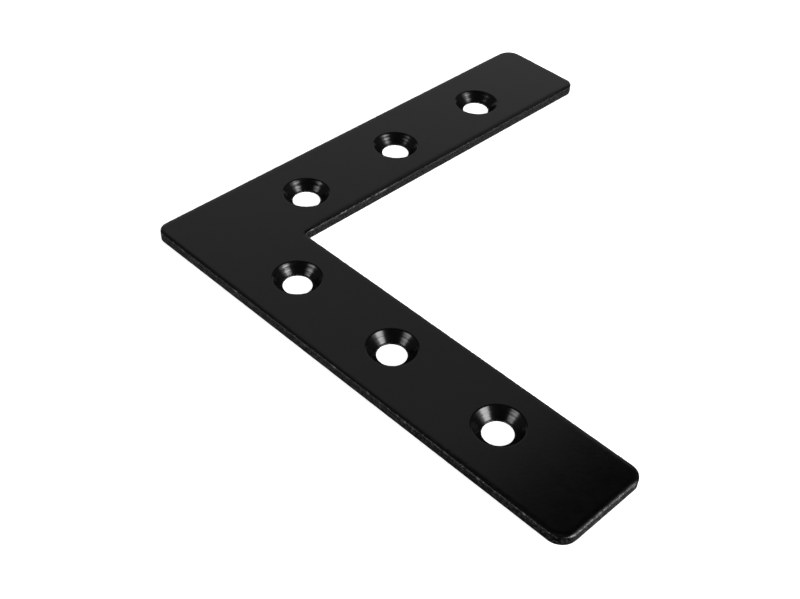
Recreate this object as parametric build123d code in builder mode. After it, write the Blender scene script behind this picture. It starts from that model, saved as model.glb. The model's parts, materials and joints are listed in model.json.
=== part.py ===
from build123d import *
import os

os.makedirs("parts", exist_ok=True)

# Flat corner plate: two equal arms at a right angle, three countersunk screw
# holes in each arm. Millimetres. +Z points out of the countersunk face and
# z = 0 is the back face. The origin is where the two lines of holes cross.
# +X runs along one arm and +Y along the other.

# ---- driving dimensions -------------------------------------------------
ARM_LENGTH = 100.0     # outer corner to the end of either arm
ARM_WIDTH = 19.9
THICKNESS = 2.0

HOLE_LINE = 10.5       # outer edge of an arm to its line of holes
FIRST_HOLE = 18.1      # crossing of the hole lines to the first hole
HOLE_PITCH = 24.5
HOLES_PER_ARM = 3

HOLE_R = 2.7           # straight wall at the back face
SINK_R = 4.6           # cone at the front face, before its rim is eased
SINK_ANGLE = 90.0      # included angle
RIM_EASE = 0.25        # rounding where the cone meets the front face

HEEL_R = 2.6           # outer corner of the L
CROOK_R = 0.7          # inner corner of the L
END_OUTER_R = 3.1      # end of an arm, outer side
END_INNER_R = 2.5      # end of an arm, inner side

ROLL_IN = 0.80         # blanked front edge: how far it runs in over the face
ROLL_DOWN = 0.26       # and how far it runs down the side
ROLL_BLEND_R = 1.2     # blends it into the front face
ROLL_NOSE_R = 0.22     # and rounds it into the side
BACK_EDGE = 0.06       # small break on the back edge

# ---- derived ------------------------------------------------------------
low = -HOLE_LINE                    # outer edges
inner = low + ARM_WIDTH             # inner edges
end = low + ARM_LENGTH              # arm ends
hole_run = [FIRST_HOLE + i * HOLE_PITCH for i in range(HOLES_PER_ARM)]
hole_points = [(d, 0) for d in hole_run] + [(0, d) for d in hole_run]


def at(point):
    """Pick the outline's corner that stands at a point."""
    return lambda v: abs(v.X - point[0]) < 1e-6 and abs(v.Y - point[1]) < 1e-6


with BuildPart() as corner_plate:
    with BuildSketch(Plane.XY):
        with BuildLine():
            Polyline(
                (low, low), (end, low), (end, inner), (inner, inner),
                (inner, end), (low, end), close=True,
            )
        make_face()
        for corner, radius in (
            ((low, low), HEEL_R),
            ((inner, inner), CROOK_R),
            ((end, low), END_OUTER_R),
            ((low, end), END_OUTER_R),
            ((end, inner), END_INNER_R),
            ((inner, end), END_INNER_R),
        ):
            fillet(vertices().filter_by(at(corner)), radius=radius)
    extrude(amount=THICKNESS)

    # blanked edge: a wide, shallow roll round the front, a small break behind
    front = faces().sort_by(Axis.Z)[-1]
    chamfer(front.edges(), length=ROLL_IN, length2=ROLL_DOWN, reference=front)
    nose = edges().filter_by(
        lambda e: abs(e.bounding_box().min.Z - (THICKNESS - ROLL_DOWN)) < 1e-4
        and abs(e.bounding_box().max.Z - (THICKNESS - ROLL_DOWN)) < 1e-4
    )
    fillet(nose, radius=ROLL_NOSE_R)
    front = faces().sort_by(Axis.Z)[-1]
    fillet(front.edges(), radius=ROLL_BLEND_R)
    back = faces().sort_by(Axis.Z)[0]
    chamfer(back.edges(), length=BACK_EDGE)

    # six countersunk holes, entered from the front face
    with Locations(Plane.XY.offset(THICKNESS)):
        with Locations(*hole_points):
            CounterSinkHole(
                radius=HOLE_R,
                counter_sink_radius=SINK_R,
                counter_sink_angle=SINK_ANGLE,
            )

    # ease the rim of each cone
    rims = (
        edges()
        .filter_by(GeomType.CIRCLE)
        .filter_by(lambda e: abs(e.radius - SINK_R) < 1e-4)
    )
    fillet(rims, radius=RIM_EASE)

corner_plate.part.label = "corner_plate"
export_step(corner_plate.part, "parts/corner_plate.step")
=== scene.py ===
import json
import math

import bpy
import numpy as np
from mathutils import Matrix, Vector
from mathutils.geometry import delaunay_2d_cdt


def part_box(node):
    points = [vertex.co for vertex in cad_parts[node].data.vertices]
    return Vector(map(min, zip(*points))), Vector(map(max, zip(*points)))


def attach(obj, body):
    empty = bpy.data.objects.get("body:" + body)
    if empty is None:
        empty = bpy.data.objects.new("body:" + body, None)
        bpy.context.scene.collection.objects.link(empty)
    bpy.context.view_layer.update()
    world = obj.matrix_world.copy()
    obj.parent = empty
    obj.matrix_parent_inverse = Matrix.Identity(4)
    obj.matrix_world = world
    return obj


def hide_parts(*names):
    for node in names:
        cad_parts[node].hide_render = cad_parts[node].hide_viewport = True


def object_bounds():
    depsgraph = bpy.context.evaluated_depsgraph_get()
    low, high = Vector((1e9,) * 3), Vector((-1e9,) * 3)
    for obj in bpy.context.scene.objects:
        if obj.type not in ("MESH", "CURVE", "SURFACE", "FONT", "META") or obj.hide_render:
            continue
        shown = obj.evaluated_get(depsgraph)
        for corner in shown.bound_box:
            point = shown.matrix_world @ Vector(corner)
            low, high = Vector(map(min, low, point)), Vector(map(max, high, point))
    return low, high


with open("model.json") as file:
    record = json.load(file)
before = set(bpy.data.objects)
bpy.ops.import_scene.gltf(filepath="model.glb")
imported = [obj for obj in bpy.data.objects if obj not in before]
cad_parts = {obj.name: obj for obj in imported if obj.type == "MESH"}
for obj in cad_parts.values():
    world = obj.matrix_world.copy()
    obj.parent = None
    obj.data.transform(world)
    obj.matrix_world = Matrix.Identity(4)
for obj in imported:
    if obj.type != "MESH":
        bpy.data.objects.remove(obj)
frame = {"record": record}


def plain(b):
    return [[float(v) for v in corner] for corner in b]


cad_box = plain(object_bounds())

# ---------------------------------------------------------------------------
# sizes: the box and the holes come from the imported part, in millimetres here
# ---------------------------------------------------------------------------
MM = 0.001
node_lo, node_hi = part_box("corner_plate")
LOW_X, LOW_Y, BACK = (v / MM for v in node_lo)
END_X, END_Y, FRONT = (v / MM for v in node_hi)
HOLES = [
    (m["pos_m"][0] / MM, m["pos_m"][1] / MM)
    for m in frame["record"]["mounts"] if m["kind"] == "bore"
]
HOLE_R = [m["dims"]["r_mm"] for m in frame["record"]["mounts"] if m["kind"] == "bore"][0]
ARM_WIDTH = 19.9
IN_X, IN_Y = LOW_X + ARM_WIDTH, LOW_Y + ARM_WIDTH

# sharp corners in order round the L, radius of each, and how wide the rolled
# front edge is there compared with the straight runs
CORNERS = [
    ((LOW_X, LOW_Y), 2.6, 1.0),
    ((END_X, LOW_Y), 3.1, 1.0),
    ((END_X, IN_Y), 2.5, 1.0),
    ((IN_X, IN_Y), -0.7, 0.85),
    ((IN_X, END_Y), 2.5, 1.0),
    ((LOW_X, END_Y), 3.1, 1.0),
]

ROLL_IN = 1.05          # rolled front edge, in over the face
ROLL_DOWN = 0.31        # and down the side
# width and depth of the roll along the straight run that follows each corner
RUNS = [0.95, 1.00, 1.0, 1.40, 1.0, 1.0]
DEPTHS = [0.95, 2.60, 1.0, 0.84, 1.0, 1.0]
STEP = 0.20             # spacing of points round the outline


# ---------------------------------------------------------------------------
# seeded smooth noise
# ---------------------------------------------------------------------------
def lattice(seed, n):
    return np.random.RandomState(seed).uniform(-1.0, 1.0, n)


def noise1(x, scale, seed, period=None):
    """Smooth noise along a length, about -1 to 1. With a period it closes on itself."""
    x = np.asarray(x, float) / scale
    n = 4096 if period is None else max(4, int(round(period / scale)))
    if period is not None:
        x = x * n / (period / scale)
    table = lattice(seed, n)
    i = np.floor(x).astype(int)
    f = x - i
    f = f * f * f * (f * (f * 6 - 15) + 10)
    return table[i % n] * (1 - f) + table[(i + 1) % n] * f


def noise2(x, y, sx, sy, seed, period_x):
    """Smooth noise over a strip that closes on itself in x."""
    x = np.asarray(x, float)
    y = np.asarray(y, float) / sy
    nx = max(4, int(round(period_x / sx)))
    x = x / period_x * nx
    table = np.random.RandomState(seed).uniform(-1.0, 1.0, (nx, 64))
    i, j = np.floor(x).astype(int), np.floor(y).astype(int)
    f, g = x - i, y - j
    f = f * f * (3 - 2 * f)
    g = g * g * (3 - 2 * g)
    i0, i1, j0, j1 = i % nx, (i + 1) % nx, j % 64, (j + 1) % 64
    a = table[i0, j0] * (1 - f) + table[i1, j0] * f
    b = table[i0, j1] * (1 - f) + table[i1, j1] * f
    return a * (1 - g) + b * g


def smooth(t):
    t = np.clip(t, 0, 1)
    return t * t * (3 - 2 * t)


# ---------------------------------------------------------------------------
# the outline: points, inward normals, distance run and roll width factor
# ---------------------------------------------------------------------------
def base_outline():
    n = len(CORNERS)
    arcs = []
    for k, (p, r, w) in enumerate(CORNERS):
        p = np.array(p, float)
        a = np.array(CORNERS[k - 1][0], float)
        b = np.array(CORNERS[(k + 1) % n][0], float)
        u, v = (p - a) / np.linalg.norm(p - a), (b - p) / np.linalg.norm(b - p)
        rr = abs(r)
        start, stop = p - u * rr, p + v * rr
        left = np.array([-u[1], u[0]])                # inward on a convex corner
        centre = start + left * r
        arcs.append((start, stop, centre, u, v, r, w))
    pts, nrm, fac, dep = [], [], [], []
    for k in range(n):
        start, stop, centre, u, v, r, w = arcs[k]
        nxt = arcs[(k + 1) % n]
        m = 14 if abs(r) > 2 else 10
        inward_u = np.array([-u[1], u[0]])
        inward_v = np.array([-v[1], v[0]])
        for i in range(m):
            t = i / m * math.pi / 2
            nv = inward_u * math.cos(t) + inward_v * math.sin(t)
            pts.append(centre - nv * r)
            nrm.append(nv)
            fac.append(w)
            dep.append(DEPTHS[k - 1] * (1 - i / m) + DEPTHS[k] * (i / m))
        run = nxt[0] - stop
        length = np.linalg.norm(run)
        m = max(4, int(round(length / STEP)))
        for i in range(m):
            t = i / m
            pts.append(stop + run * t)
            nrm.append(inward_v)
            d0, d1 = t * length, (1 - t) * length
            f = RUNS[k]
            f += (w - RUNS[k]) * (1 - smooth(d0 / 5.0))
            f += (nxt[6] - RUNS[k]) * (1 - smooth(d1 / 5.0))
            fac.append(f)
            dep.append(DEPTHS[k])
    pts, nrm, fac, dep = np.array(pts), np.array(nrm), np.array(fac), np.array(dep)
    step = np.linalg.norm(np.roll(pts, -1, 0) - pts, axis=1)
    run = np.concatenate([[0], np.cumsum(step)[:-1]])
    return pts, nrm, fac, dep, run, float(step.sum())


BASE, INWARD, WIDE, DEEP, RUN, ROUND = base_outline()
N_OUT = len(BASE)

verts = []                   # all vertices, mm
zone = {"cone": [], "side": [], "torn": [], "rim": [], "worn": []}
faces = []


def add_loop(xy, z, cone=0.0, side=0.0, torn=0.0, rim=0.0, worn=0.0):
    start = len(verts)
    z = np.broadcast_to(z, (len(xy),))
    torn = np.broadcast_to(torn, (len(xy),))
    worn = np.broadcast_to(worn, (len(xy),))
    rim = np.broadcast_to(rim, (len(xy),))
    for (x, y), h, t, wear_and_glint_mask, round_ in zip(xy, z, torn, worn, rim):
        verts.append((float(x), float(y), float(h)))
        zone["worn"].append(float(wear_and_glint_mask))
        zone["rim"].append(float(round_))
        zone["cone"].append(cone)
        zone["side"].append(side)
        zone["torn"].append(float(t))
    return list(range(start, start + len(xy)))


def bridge(a, b):
    """Quads between two closed loops with the same number of points."""
    n = len(a)
    for i in range(n):
        j = (i + 1) % n
        faces.append((a[i], b[i], b[j], a[j]))


# ---- outline loops, from the front face out and down to the back ----------
THICK = FRONT - BACK
wave = 0.035 * noise1(RUN, 9.0, 11, ROUND) + 0.03 * noise1(RUN, 2.3, 12, ROUND) + 0.06 * noise1(RUN, 0.7, 15, ROUND)
break_z = 0.86 + 0.16 * noise1(RUN, 6.0, 13, ROUND) + 0.08 * noise1(RUN, 1.1, 14, ROUND)

outline_loops = []


def outline_loop(inset, z, **k):
    xy = BASE + INWARD * np.broadcast_to(inset, (N_OUT,))[:, None]
    outline_loops.append(add_loop(xy, z, **k))


# nicks along the nose of the roll, more of them beside the crook of the L
from_crook = np.where(np.abs(BASE[:, 0] - IN_X) < 0.01, BASE[:, 1] - IN_Y, 99.0)
rough_run = 1.0 + 1.1 * smooth((27.0 - from_crook) / 6.0) * smooth((from_crook - 0.8) / 1.5)
sharp = noise1(RUN, 0.46, 51, ROUND)
nick = rough_run * (0.019 * sharp + 0.010 * noise1(RUN, 0.8, 53, ROUND) + 0.004 * noise1(RUN, 2.1, 52, ROUND))
nick = nick * (0.8 + 0.4 * noise1(RUN, 3.1, 54, ROUND))
nick = nick * (1.0 - 0.35 * smooth((from_crook - 25.0) / 8.0) * (from_crook < 90.0))

# short runs of the nose painted lighter grey: partly where the coat has worn thin, partly painted glints
beside = smooth((27.0 - from_crook) / 7.0) * smooth((from_crook - 0.3) / 1.0)
patch = noise1(RUN, 0.62, 61, ROUND) + 0.5 * noise1(RUN, 0.31, 62, ROUND) + 0.35 * noise1(RUN, 3.7, 63, ROUND)
inner_run = (from_crook < 90.0).astype(float)
wear_and_glint_mask = (1 - beside) * (0.85 - 0.60 * inner_run) * smooth((patch - 0.85) / 0.35)
wear_and_glint_mask = wear_and_glint_mask + beside * (0.95 * smooth((patch - 0.40) / 0.50) + 0.16 * smooth((patch + 0.4) / 1.2))
wear_and_glint_mask = np.clip(wear_and_glint_mask, 0.0, 1.0)

roll_in = ROLL_IN * WIDE * (1 + wave)
roll_down = ROLL_DOWN * DEEP * (1 + 0.5 * wave)
outline_loop(roll_in * 1.35, FRONT)
outline_loop(roll_in * 1.12, FRONT)
for i in range(0, 13):
    t = i / 12 * math.pi / 2
    # slightly fuller than an ellipse, as a rolled blanking edge is
    s, c = math.sin(t) ** 0.96, math.cos(t) ** 0.96 if i < 12 else 0.0
    here = float(smooth((i - 6) / 5))
    outline_loop(
        np.maximum(roll_in * (1 - s) + (0.030 + nick) * here, 0.0),
        FRONT - roll_down * (1 - c) - nick * here * 0.8,
        side=float(smooth((i - 5) / 6)), rim=math.sin(2 * t) ** 2 * np.clip(2.0 - DEEP, 0.0, 1.0),
        worn=wear_and_glint_mask * float(smooth((i - 7.5) / 3)),
    )
top_z = FRONT - roll_down
# burnished band: fine upright scoring, very shallow
rows = 5
for i in range(1, rows + 1):
    t = i / rows
    z = top_z + (break_z - top_z) * t
    score = 0.006 * (noise1(RUN, 0.42, 21, ROUND) + 0.6 * noise1(RUN, 0.9, 22, ROUND))
    inset = 0.030 + nick * (1 - t) ** 2 + score * smooth(t * 2) - 0.008 * t
    outline_loop(np.maximum(inset, 0.0), z, side=1.0, worn=wear_and_glint_mask * float(smooth(1.0 - 2.8 * t)))
# torn band below it: steps in, grainy
rows = 7
for i in range(1, rows + 1):
    t = i / rows
    z = break_z + (0.11 - break_z) * t
    grain = 0.020 * noise2(RUN, z, 0.55, 0.22, 31, ROUND) + 0.012 * noise2(RUN, z, 0.33, 0.4, 32, ROUND)
    inset = 0.022 + 0.014 * smooth(t * 3) + 0.018 * t + grain * smooth(t * 4)
    outline_loop(np.clip(inset, 0.0, 0.2), z, side=1.0, torn=float(smooth(t * 3)))
# back edge
last = 0.048 + 0.010 * noise1(RUN, 0.8, 41, ROUND)
outline_loop(last + 0.006, 0.055, side=0.9, torn=0.8)
outline_loop(last + 0.016, 0.012, side=0.6, torn=0.4)
outline_loop(last + 0.034, BACK, side=0.2)
outline_loop(last + 0.30, BACK)
for a, b in zip(outline_loops, outline_loops[1:]):
    bridge(a, b)

# ---- holes ----------------------------------------------------------------
SINK_R = 4.6
LAND = THICK - (SINK_R - HOLE_R)              # straight wall left at the back
N_HOLE = 128
MARKS = [1.1, 0.75, 0.85, 1.1, 0.7, 0.55]       # how deep the turning marks are, hole by hole
hole_front, hole_back = [], []
for k, (cx, cy) in enumerate(HOLES):
    rng = np.random.RandomState(100 + k)
    ang = np.linspace(0, 2 * math.pi, N_HOLE, endpoint=False)
    unit = np.stack([np.cos(ang), np.sin(ang)], 1)
    loops = []

    def ring(r, z, **kw):
        r = np.broadcast_to(r, (N_HOLE,))
        loops.append(add_loop(np.array([cx, cy]) + unit * r[:, None], z, **kw))

    ring(5.15, FRONT)
    # rim, rolled over from the face into the cone
    ease = 0.42
    t45 = ease * math.tan(math.pi / 8)
    ring(SINK_R + t45 + 0.04, FRONT)
    for i in range(0, 9):
        a = i / 8 * math.pi / 4
        r = SINK_R + t45 - ease * math.sin(a)
        z = FRONT - ease * (1 - math.cos(a))
        ring(r, z, cone=float(smooth(i / 6)), rim=math.sin(i / 8 * math.pi))
    r0, z0 = SINK_R - t45 / math.sqrt(2), FRONT - t45 / math.sqrt(2)
    e = 0.145                                 # rounds the cone into the wall
    t1 = e * math.tan(math.pi / 8)
    r1, z1 = HOLE_R + t1 / math.sqrt(2), LAND + t1 / math.sqrt(2)
    rows = 44
    # cutter marks: rings of uneven depth, a little out of round
    length = (r0 - r1) * math.sqrt(2)
    off = rng.uniform(-1, 1, 4)
    mark = MARKS[k]
    for i in range(1, rows + 1):
        t = i / rows
        s = t * length
        fade = float(smooth(min(t, 1 - t) * 9))
        # uneven turning marks, broken up round the cone
        along = s + 5.0 + 0.09 * np.sin(ang + off[0] * 3) + 0.05 * np.sin(2 * ang + off[1] * 3)
        deep = 0.0085 * noise1(along, 0.34, 200 + k) + 0.0030 * noise1(along, 0.15, 210 + k)
        deep = deep + 0.0042 * noise2(ang * 3.7, s + 5.0, 0.55, 0.30, 220 + k, 2 * math.pi * 3.7)
        deep = deep + 0.0030 * noise2(ang * 3.7, s + 5.0, 0.9, 1.1, 230 + k, 2 * math.pi * 3.7)
        deep = deep * fade * mark
        # along the cone, then displaced along its normal
        r = r0 + (r1 - r0) * t + deep / math.sqrt(2)
        z = z0 + (z1 - z0) * t - deep / math.sqrt(2)
        # the last of the cone is duller, beside the edge of the hole
        dull = 0.85 * float(smooth(1.25 - (length - s) / 0.24))
        ring(r, z, cone=1.0 - dull, side=dull)
    # down into the straight wall, and out at the back face
    for i in range(1, 5):
        a = math.pi / 4 * (1 - i / 4)
        r = HOLE_R + e * (1 - math.cos(a))
        z = LAND - t1 + e * math.sin(a)
        ring(r, z, cone=0.15, side=0.85, rim=0.6)
    for i in range(0, 4):
        a = math.pi / 2 * (i / 3)
        ring(HOLE_R + 0.034 * (1 - math.cos(a)), 0.034 * (1 - math.sin(a)), side=0.5, rim=0.5)
    ring(HOLE_R + 0.35, BACK)
    for a, b in zip(loops, loops[1:]):
        faces_before = len(faces)
        n = N_HOLE
        for i in range(n):
            j = (i + 1) % n
            faces.append((a[i], a[j], b[j], b[i]))
    hole_front.append(loops[0])
    hole_back.append(loops[-1])


# ---- flat faces: triangles between the outline and the holes ---------------
def inside_l(x, y, d):
    """At least d inside the L."""
    if x < LOW_X + d or y < LOW_Y + d or x > END_X - d or y > END_Y - d:
        return False
    return not (x > IN_X - d and y > IN_Y - d)


def fill(outer, rings, z, up, reach):
    index = list(outer)
    loops = [list(range(len(outer)))]
    for r in rings:
        loops.append(list(range(len(index), len(index) + len(r))))
        index += r
    pts = [Vector(verts[i][:2]) for i in index]
    fixed = len(pts)
    # rows that grow coarser away from the fine edges
    d = reach
    for spread, every in ((0.40, 2), (1.05, 4)):
        for i in range(0, N_OUT, every):
            p = BASE[i] + INWARD[i] * (d + spread)
            if inside_l(p[0], p[1], (d + spread) * 0.97):
                pts.append(Vector(p))
    for cx, cy in HOLES:
        base = 5.15 if up else HOLE_R + 0.35
        for spread, count in ((0.45, 56), (1.15, 28)):
            for i in range(count):
                a = 2 * math.pi * (i + 0.5) / count
                pts.append(Vector((cx + (base + spread) * math.cos(a), cy + (base + spread) * math.sin(a))))
    pitch = 1.9
    nx = int((END_X - LOW_X) / pitch) + 1
    for i in range(nx + 1):
        for j in range(nx + 1):
            x = LOW_X + pitch * (i + 0.5 * (j % 2))
            y = LOW_Y + pitch * 0.866 * j * 1.155
            if not inside_l(x, y, d + 2.2):
                continue
            keep = 5.15 + 2.4 if up else HOLE_R + 0.35 + 2.4
            if any(math.hypot(x - cx, y - cy) < keep for cx, cy in HOLES):
                continue
            pts.append(Vector((x, y)))
    out_v, _, out_f, orig_v, _, orig_f = delaunay_2d_cdt(pts, [], loops, 0, 1e-7)
    remap = {}
    for n, (v, source) in enumerate(zip(out_v, orig_v)):
        src = source[0] if source else None
        if src is not None and src < fixed:
            remap[n] = index[src]
        else:
            verts.append((v.x, v.y, z))
            for key in zone:
                zone[key].append(0.0)
            remap[n] = len(verts) - 1
    used = set()
    for tri, source in zip(out_f, orig_f):
        if 0 not in source or any(s > 0 for s in source):
            continue
        a, b, c = (remap[t] for t in tri)
        pa, pb, pc = verts[a], verts[b], verts[c]
        area = (pb[0] - pa[0]) * (pc[1] - pa[1]) - (pb[1] - pa[1]) * (pc[0] - pa[0])
        if abs(area) < 1e-9:
            continue
        if (area > 0) != up:
            b, c = c, b
        faces.append((a, b, c))
        used.update((a, b, c))


fill(outline_loops[0], hole_front, FRONT, True, float(roll_in.max()) * 1.35)
fill(outline_loops[-1], hole_back, BACK, False, 0.4)

# ---- mesh ------------------------------------------------------------------
used = sorted({i for f in faces for i in f})
renumber = {old: new for new, old in enumerate(used)}
co = np.array([verts[i] for i in used], float) * MM
mesh = bpy.data.meshes.new("corner_plate_skin")
mesh.from_pydata([tuple(c) for c in co], [], [tuple(renumber[i] for i in f) for f in faces])
mesh.validate(clean_customdata=False)
mesh.update()
for key, values in zone.items():
    layer = mesh.attributes.new(key, "FLOAT", "POINT")
    layer.data.foreach_set("value", np.array([values[i] for i in used], np.float32))
for p in mesh.polygons:
    p.use_smooth = True
plate = bpy.data.objects.new("corner_plate_skin", mesh)
bpy.context.scene.collection.objects.link(plate)


# ---------------------------------------------------------------------------
# material: black satin coat on blanked steel
# ---------------------------------------------------------------------------
def node(tree, kind, x=0, y=0, **kw):
    n = tree.nodes.new(kind)
    n.location = (x, y)
    for k, v in kw.items():
        setattr(n, k, v)
    return n


def coat_material():
    mat = bpy.data.materials.new("black_satin_coat")
    mat.use_nodes = True
    t = mat.node_tree
    t.nodes.clear()
    L = t.links.new
    out = node(t, "ShaderNodeOutputMaterial", 1400, 0)
    bsdf = node(t, "ShaderNodeBsdfPrincipled", 1100, 0)
    L(bsdf.outputs[0], out.inputs[0])
    bsdf.inputs["IOR"].default_value = 1.5
    bsdf.inputs["Specular IOR Level"].default_value = 0.50

    co_ = node(t, "ShaderNodeTexCoord", -1400, 0)

    def attr(name, y):
        a = node(t, "ShaderNodeAttribute", -1400, y)
        a.attribute_name = name
        return a.outputs["Fac"]

    cone, side, torn, rim = attr("cone", -300), attr("side", -450), attr("torn", -600), attr("rim", -750)
    worn = attr("worn", -900)

    def noise(scale, detail, rough, y, x=-1100, distortion=0.0):
        n = node(t, "ShaderNodeTexNoise", x, y)
        n.inputs["Scale"].default_value = scale
        n.inputs["Detail"].default_value = detail
        n.inputs["Roughness"].default_value = rough
        n.inputs["Distortion"].default_value = distortion
        L(co_.outputs["Object"], n.inputs["Vector"])
        return n.outputs["Fac"]

    def math_(op, a, b, x=0, y=0, clamp=False):
        n = node(t, "ShaderNodeMath", x, y)
        n.operation = op
        n.use_clamp = clamp
        for i, v in enumerate((a, b)):
            if v is None:
                continue
            if isinstance(v, (int, float)):
                n.inputs[i].default_value = v
            else:
                L(v, n.inputs[i])
        return n.outputs[0]

    def remap(v, a, b, c, d, x=0, y=0, kind="LINEAR"):
        n = node(t, "ShaderNodeMapRange", x, y)
        n.interpolation_type = kind
        L(v, n.inputs["Value"])
        for key, val in (("From Min", a), ("From Max", b), ("To Min", c), ("To Max", d)):
            n.inputs[key].default_value = val
        return n.outputs[0]

    cloudy = noise(38, 3, 0.55, 300)           # slow change in the coat
    mottle = noise(420, 4, 0.6, 150)           # few-millimetre mottling
    peel = noise(1500, 3, 0.5, 0)              # coat texture
    grain = noise(7000, 2, 0.6, -150)          # pigment grain
    specks = noise(2600, 2, 0.7, 450)
    flecks = noise(3100, 1, 0.6, 600)

    # colour: near black; lighter grey flecks on the cut sides, partly thin coat over the cut steel and partly
    # painted glints
    ramp = node(t, "ShaderNodeValToRGB", -500, 300)
    ramp.color_ramp.elements[0].position = 0.35
    ramp.color_ramp.elements[0].color = (0.0012, 0.0012, 0.0013, 1)
    ramp.color_ramp.elements[1].position = 0.68
    ramp.color_ramp.elements[1].color = (0.0020, 0.0020, 0.0021, 1)
    L(mottle, ramp.inputs[0])
    # painted glints: lighter grey flecks on the cut sides, partly thin coat over the cut steel
    side_fleck_glint_tint = node(t, "ShaderNodeMix", -150, 300)
    side_fleck_glint_tint.data_type = "RGBA"
    L(ramp.outputs[0], side_fleck_glint_tint.inputs[6])
    side_fleck_glint_tint.inputs[7].default_value = (0.036, 0.036, 0.0365, 1)
    L(math_("MULTIPLY", side, remap(flecks, 0.56, 0.64, 0.0, 1.0, -300, 500), -200, 450), side_fleck_glint_tint.inputs[0])
    # painted glints: lighter grey patches along the nose, partly where the coat has worn thin
    wear_and_glint_tint = node(t, "ShaderNodeMix", 50, 300)
    wear_and_glint_tint.data_type = "RGBA"
    L(side_fleck_glint_tint.outputs[2], wear_and_glint_tint.inputs[6])
    wear_and_glint_tint.inputs[7].default_value = (0.16, 0.16, 0.158, 1)
    L(math_("MULTIPLY", worn, remap(specks, 0.40, 0.60, 0.25, 1.0, -300, 650), -200, 600), wear_and_glint_tint.inputs[0])
    L(wear_and_glint_tint.outputs[2], bsdf.inputs["Base Color"])

    # roughness by zone, with slow and fine variation
    face_r = remap(cloudy, 0.3, 0.7, 0.135, 0.165, -500, 0)
    face_r = math_("ADD", face_r, remap(mottle, 0.3, 0.7, -0.012, 0.012, -500, -80), -300, 0)
    cone_r = remap(mottle, 0.3, 0.7, 0.150, 0.200, -500, -200)
    side_r = remap(grain, 0.3, 0.7, 0.22, 0.34, -500, -300)

    def mix(fac, a, b, x, y):
        n = node(t, "ShaderNodeMix", x, y)
        n.data_type = "FLOAT"
        L(fac, n.inputs[0])
        L(a, n.inputs[2])
        L(b, n.inputs[3])
        return n.outputs[0]

    r1 = mix(side, face_r, side_r, 0, -100)
    r2 = mix(cone, r1, cone_r, 200, -100)
    L(r2, bsdf.inputs["Roughness"])

    # relief: orange peel everywhere, coarser on the cut sides, almost none in the cones
    not_cone = math_("SUBTRACT", 1.0, math_("MULTIPLY", cone, 0.75, -700, -500), -500, -500)
    h1 = math_("MULTIPLY", peel, 0.55, -500, -600)
    h2 = math_("MULTIPLY", grain, 0.30, -500, -700)
    h = math_("MULTIPLY", math_("ADD", h1, h2, -300, -600), not_cone, -100, -600)
    coarse = math_("ADD", math_("MULTIPLY", specks, 3.2, -700, -800), grain, -500, -800)
    cut = math_("MULTIPLY", coarse, math_("MULTIPLY", side, 4.0, -500, -900), -300, -800)
    h = math_("ADD", h, cut, 100, -650)
    bump = node(t, "ShaderNodeBump", 700, -500)
    bump.inputs["Strength"].default_value = 1.0
    bump.inputs["Distance"].default_value = 0.0000075
    L(h, bump.inputs["Height"])
    L(bump.outputs[0], bsdf.inputs["Normal"])
    # the coat draws thin over rounded edges, and shines less there
    L(remap(rim, 0.0, 1.0, 0.50, 0.26, 700, 200), bsdf.inputs["Specular IOR Level"])
    return mat


coat = coat_material()
mesh.materials.append(coat)
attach(plate, "root")
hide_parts("corner_plate")

# ---------------------------------------------------------------------------
# floor
# ---------------------------------------------------------------------------
floor_mesh = bpy.data.meshes.new("floor")
S = 12.0
floor_mesh.from_pydata([(-S, -S, 0), (S, -S, 0), (S, S, 0), (-S, S, 0)], [], [(0, 1, 2, 3)])
floor_mesh.update()
floor = bpy.data.objects.new("floor", floor_mesh)
bpy.context.scene.collection.objects.link(floor)
fm = bpy.data.materials.new("floor_white")
fm.use_nodes = True
fb = fm.node_tree.nodes["Principled BSDF"]
fb.inputs["Base Color"].default_value = (0.90, 0.90, 0.90, 1)
fb.inputs["Roughness"].default_value = 0.9
fb.inputs["Specular IOR Level"].default_value = 0.1
fb.inputs["Emission Color"].default_value = (1, 1, 1, 1)      # a lit table
fb.inputs["Emission Strength"].default_value = 0.75
floor_mesh.materials.append(fm)
floor.location.z = cad_box[0][2] - 0.00002
floor.visible_glossy = False


# ---------------------------------------------------------------------------
# light: a studio as a soft surround, brighter panels behind, right and left
# ---------------------------------------------------------------------------
world = bpy.data.worlds.new("studio")
bpy.context.scene.world = world
world.use_nodes = True
wt = world.node_tree
wt.nodes.clear()
WL = wt.links.new
w_out = node(wt, "ShaderNodeOutputWorld", 1600, 0)
w_bg = node(wt, "ShaderNodeBackground", 1400, 0)
WL(w_bg.outputs[0], w_out.inputs[0])
w_co = node(wt, "ShaderNodeTexCoord", -1200, 0)
w_sep = node(wt, "ShaderNodeSeparateXYZ", -1000, 0)
WL(w_co.outputs["Generated"], w_sep.inputs[0])


def wmath(op, a, b=None):
    n = node(wt, "ShaderNodeMath")
    n.operation = op
    for i, v in enumerate((a, b)):
        if v is None:
            continue
        if isinstance(v, (int, float)):
            n.inputs[i].default_value = v
        else:
            WL(v, n.inputs[i])
    return n.outputs[0]


def wstep(v, a, b):
    """0 below a, 1 above b, smooth between (or the other way round)."""
    n = node(wt, "ShaderNodeMapRange")
    n.interpolation_type = "SMOOTHSTEP"
    WL(v, n.inputs["Value"])
    n.inputs["From Min"].default_value = a
    n.inputs["From Max"].default_value = b
    return n.outputs[0]


w_x, w_y, w_z = w_sep.outputs
elev = wmath("MULTIPLY", wmath("ARCSINE", w_z), 180 / math.pi)


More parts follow.
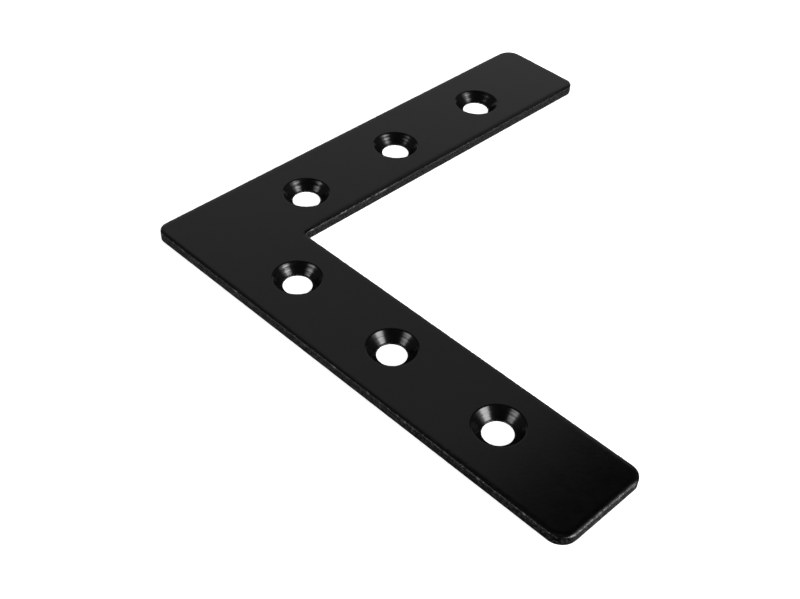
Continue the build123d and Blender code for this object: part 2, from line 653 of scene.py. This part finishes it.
def panel(az, half, soft, lo_, lo_soft, hi_, hi_soft, level):
    c, s = math.cos(math.radians(az)), math.sin(math.radians(az))
    xr = wmath("ADD", wmath("MULTIPLY", w_x, c), wmath("MULTIPLY", w_y, s))
    yr = wmath("ADD", wmath("MULTIPLY", w_x, -s), wmath("MULTIPLY", w_y, c))
    off = wmath("MULTIPLY", wmath("ABSOLUTE", wmath("ARCTAN2", yr, xr)), 180 / math.pi)
    a = wstep(off, half + soft, half - soft)
    b = wstep(elev, lo_ - lo_soft, lo_ + lo_soft)
    d = wstep(elev, hi_ + hi_soft, hi_ - hi_soft)
    return wmath("MULTIPLY", wmath("MULTIPLY", a, b), wmath("MULTIPLY", d, level))


def sweep(level):
    """White backdrop behind the plate on the left, with an upright right edge."""
    a = wstep(wmath("ADD", w_x, wmath("MULTIPLY", w_z, 0.495)), 0.022, -0.022)
    b = wstep(wmath("SUBTRACT", w_y, wmath("MULTIPLY", w_z, 0.27)), -0.24, 0.24)
    c = wstep(elev, -7, -1)
    # a little brighter towards the horizon
    d = node(wt, "ShaderNodeMapRange")
    WL(elev, d.inputs["Value"])
    for key, val in (("From Min", 44), ("From Max", 30), ("To Min", 0), ("To Max", 1)):
        d.inputs[key].default_value = val
    d = wmath("MULTIPLY", d.outputs[0], d.outputs[0])
    d = wmath("MULTIPLY", wmath("ADD", wmath("MULTIPLY", d, 0.105), 0.293), level)
    return wmath("MULTIPLY", wmath("MULTIPLY", a, b), wmath("MULTIPLY", c, d))


parts_ = [
    sweep(1.0),
    panel(17, 15, 6, 8, 6, 43.5, 8.5, 12.0),                 # right softbox
    panel(25, 12.5, 2.5, -19, 8, 22, 8, 1.65),           # and its skirt
    panel(41, 7, 5, 18, 6, 46, 6, 0.85),
    panel(249, 15, 5, 10, 6, 38, 10, 6.0),               # left softbox
    panel(222, 32, 14, -45, 16, -4, 4, 0.16),            # table, front left
    panel(52, 36, 10, -75, 8, -10, 5, 0.14),             # table, front right
    panel(185, 45, 10, 50, 4, 80, 8, 0.07),              # faint ceiling
    panel(68, 40, 14, 12, 8, 50, 8, 0.07),               # faint walls
    panel(215, 28, 12, 8, 6, 45, 8, 0.07),
    panel(300, 45, 12, 4, 6, 26, 6, 0.06),
    panel(312, 45, 14, 24, 8, 62, 10, 0.02),
    wmath("MULTIPLY", wstep(elev, 72, 84), 0.12),        # and straight above
]
total = parts_[0]
for extra in parts_[1:]:
    total = wmath("ADD", total, extra)
total = wmath("ADD", total, 0.005)
# the camera itself sees a plain pale surround
w_path = node(wt, "ShaderNodeLightPath", 600, 300)
w_mix = node(wt, "ShaderNodeMix", 1000, 0)
w_mix.data_type = "FLOAT"
WL(w_path.outputs["Is Camera Ray"], w_mix.inputs[0])
WL(total, w_mix.inputs[2])
w_mix.inputs[3].default_value = 1.0
WL(w_mix.outputs[0], w_bg.inputs["Strength"])
w_bg.inputs["Color"].default_value = (1, 1, 1, 1)

# overhead softbox, for the floor
top = bpy.data.lights.new("overhead", "AREA")
top.shape = "DISK"
top.size = 1.6
top.energy = 2.0
top_o = bpy.data.objects.new("overhead", top)
top_o.location = (0.0, 0.05, 1.3)
bpy.context.scene.collection.objects.link(top_o)
top_o.visible_glossy = False

# ---------------------------------------------------------------------------
# camera
# ---------------------------------------------------------------------------
F_PX, AZ, EL, ROLL = 1255.02, 43.389, 41.551, -3.037
CAM = (149.436, -111.734, 149.876)
a, e, r = (math.radians(v) for v in (AZ, EL, ROLL))
back_v = Vector((math.sin(a) * math.cos(e), -math.cos(a) * math.cos(e), math.sin(e)))
fwd = -back_v
right = Vector((math.cos(a), math.sin(a), 0))
down = fwd.cross(right)
right2 = math.cos(r) * right + math.sin(r) * down
down2 = -math.sin(r) * right + math.cos(r) * down
cam = bpy.data.cameras.new("camera")
cam.sensor_width = 36
cam.lens = F_PX * 36 / 800
cam.clip_start = 0.005
cam.clip_end = 100
cam_o = bpy.data.objects.new("camera", cam)
bpy.context.scene.collection.objects.link(cam_o)
up2 = -down2
m = Matrix((
    (right2.x, up2.x, back_v.x, CAM[0] * MM),
    (right2.y, up2.y, back_v.y, CAM[1] * MM),
    (right2.z, up2.z, back_v.z, CAM[2] * MM),
    (0, 0, 0, 1),
))
cam_o.matrix_world = m
bpy.context.scene.camera = cam_o

bpy.context.scene.view_settings.view_transform = "Standard"
bpy.context.scene.view_settings.look = "None"
bpy.context.scene.view_settings.exposure = 0
bpy.context.scene.view_settings.gamma = 1

bpy.context.view_layer.update()
